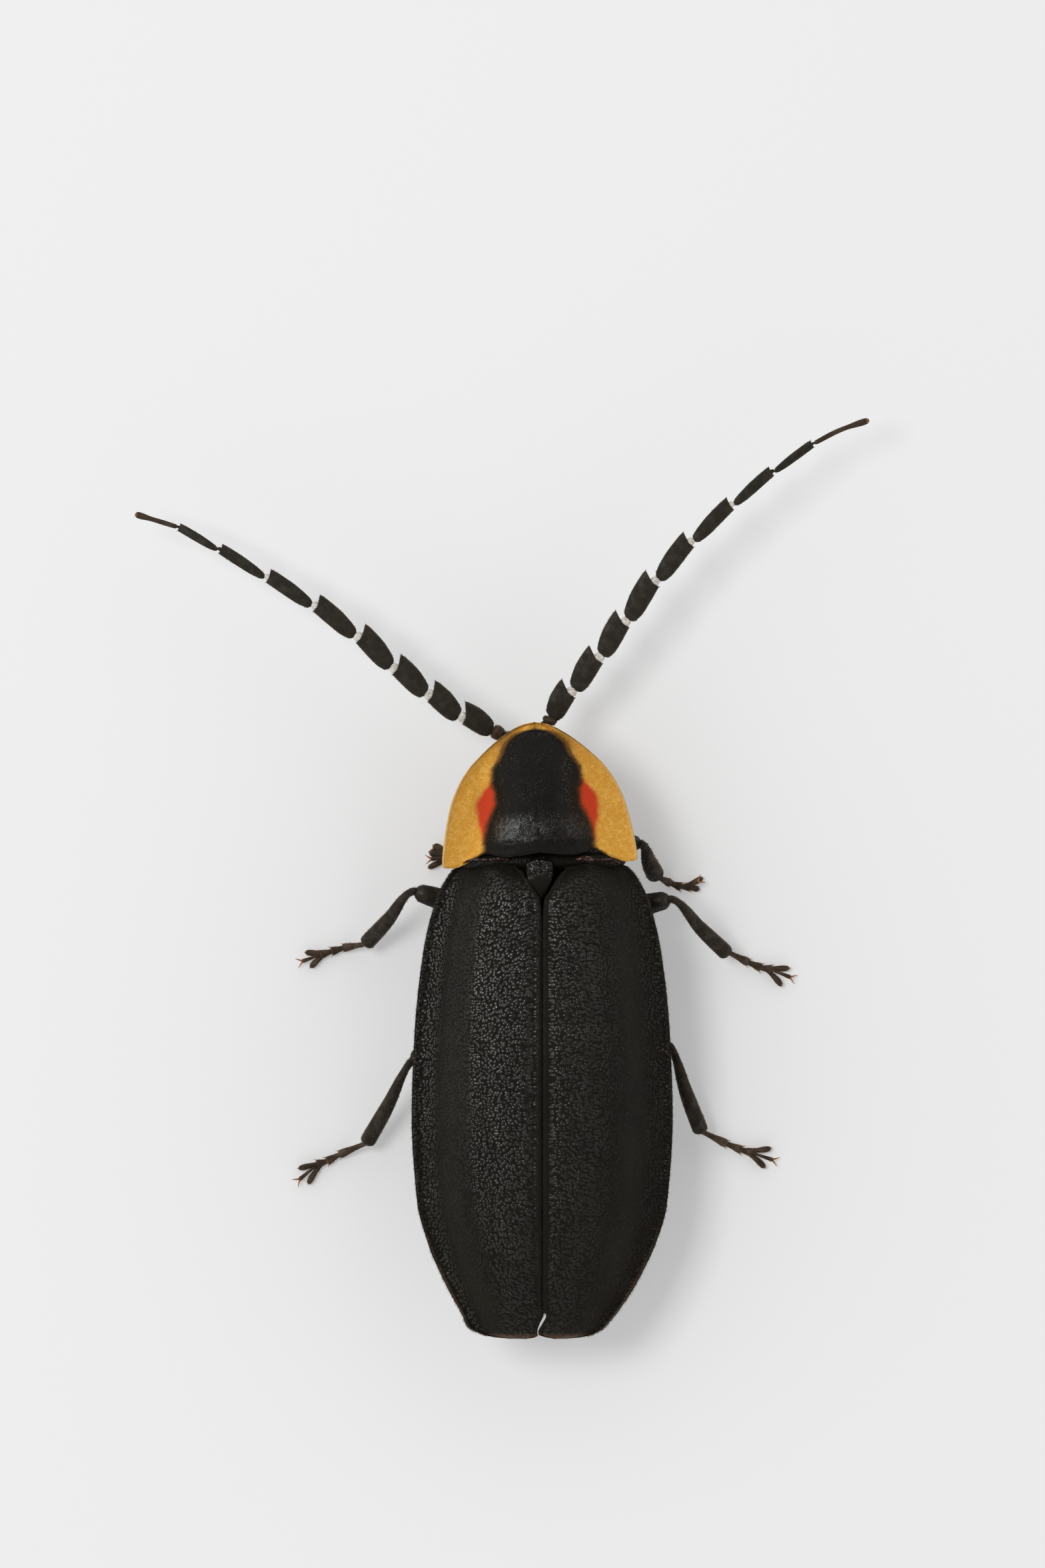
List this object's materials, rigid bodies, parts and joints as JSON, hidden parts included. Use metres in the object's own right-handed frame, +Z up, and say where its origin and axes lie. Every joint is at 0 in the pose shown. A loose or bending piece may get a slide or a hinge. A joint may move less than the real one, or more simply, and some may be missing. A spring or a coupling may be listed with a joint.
{
  "type": "firefly",
  "caption": "Life-size black firefly beetle with an orange-edged head shield, long toothed feelers spread ahead and granular wing cases, standing on its feet.",
  "frame": {"origin": "on the floor, under the middle of the insect's box", "axes": "+Y runs forward along the insect, tail to feelers, +X to its right and +Z up from the floor"},
  "size_m": [0.013, 0.0164, 0.0026],
  "materials": {
    "shell": "black granular shell, satin to glossy",
    "shield": "orange-yellow shield with a glossy black middle and red spots",
    "membrane": "smoky brown folded wing",
    "eye": "glossy black faceted eye",
    "limb": "dark brown-black, finely haired, amber at the ends"
  },
  "bodies": {
    "root": {"pronotum": "shield", "head": "shell", "eye_left": "eye", "eye_right": "eye", "mouthparts": "limb", "prosternum": "shell", "scutellum": "shell", "thorax": "shell", "abdomen": "shell", "elytron_left": "shell", "elytron_right": "shell", "hindwing_left": "membrane", "hindwing_right": "membrane", "antenna_left_scape": "limb", "antenna_left_flagellum": "limb", "antenna_right_scape": "limb", "antenna_right_flagellum": "limb", "coxa_front_left": "limb", "femur_front_left": "limb", "tibia_front_left": "limb", "tarsus_front_left": "limb", "coxa_front_right": "limb", "femur_front_right": "limb", "tibia_front_right": "limb", "tarsus_front_right": "limb", "coxa_middle_left": "limb", "femur_middle_left": "limb", "tibia_middle_left": "limb", "tarsus_middle_left": "limb", "coxa_middle_right": "limb", "femur_middle_right": "limb", "tibia_middle_right": "limb", "tarsus_middle_right": "limb", "coxa_hind_left": "limb", "femur_hind_left": "limb", "tibia_hind_left": "limb", "tarsus_hind_left": "limb", "coxa_hind_right": "limb", "femur_hind_right": "limb", "tibia_hind_right": "limb", "tarsus_hind_right": "limb"}
  },
  "joints": []
}
